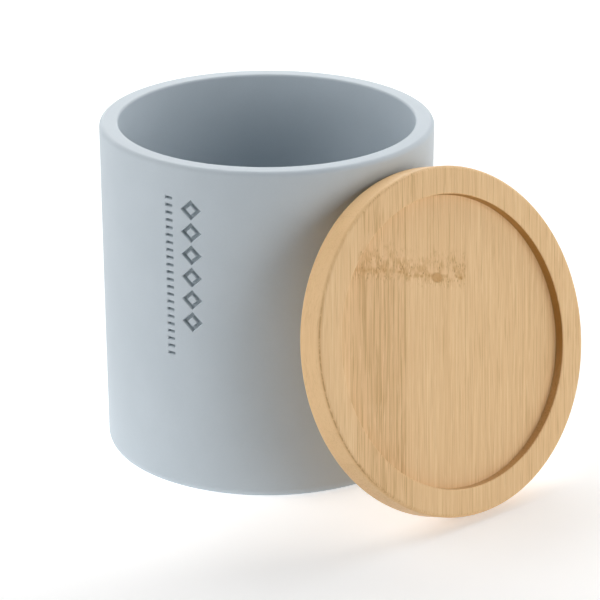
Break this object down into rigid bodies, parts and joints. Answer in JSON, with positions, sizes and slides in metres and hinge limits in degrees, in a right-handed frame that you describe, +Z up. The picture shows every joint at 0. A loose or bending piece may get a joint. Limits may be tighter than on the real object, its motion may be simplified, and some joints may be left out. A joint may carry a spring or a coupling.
{
  "type": "cotton jar",
  "caption": "Round open cast jar for cotton pads and swabs, with its recessed bamboo lid taken off and leaning on its side.",
  "frame": {"origin": "centre of the jar's base, on the surface that it stands on", "axes": "+Z up along the jar's axis, -Y towards the front of the picture, +X to its right, where the lid leans"},
  "size_m": [0.1442, 0.1358, 0.102],
  "materials": {
    "cast_resin": "matte, blue-grey, with a fine cast grain",
    "bamboo": "sanded laminated bamboo, satin, with fine grain along one direction"
  },
  "bodies": {
    "root": {"jar": "cast_resin", "lid": "bamboo"}
  },
  "joints": []
}
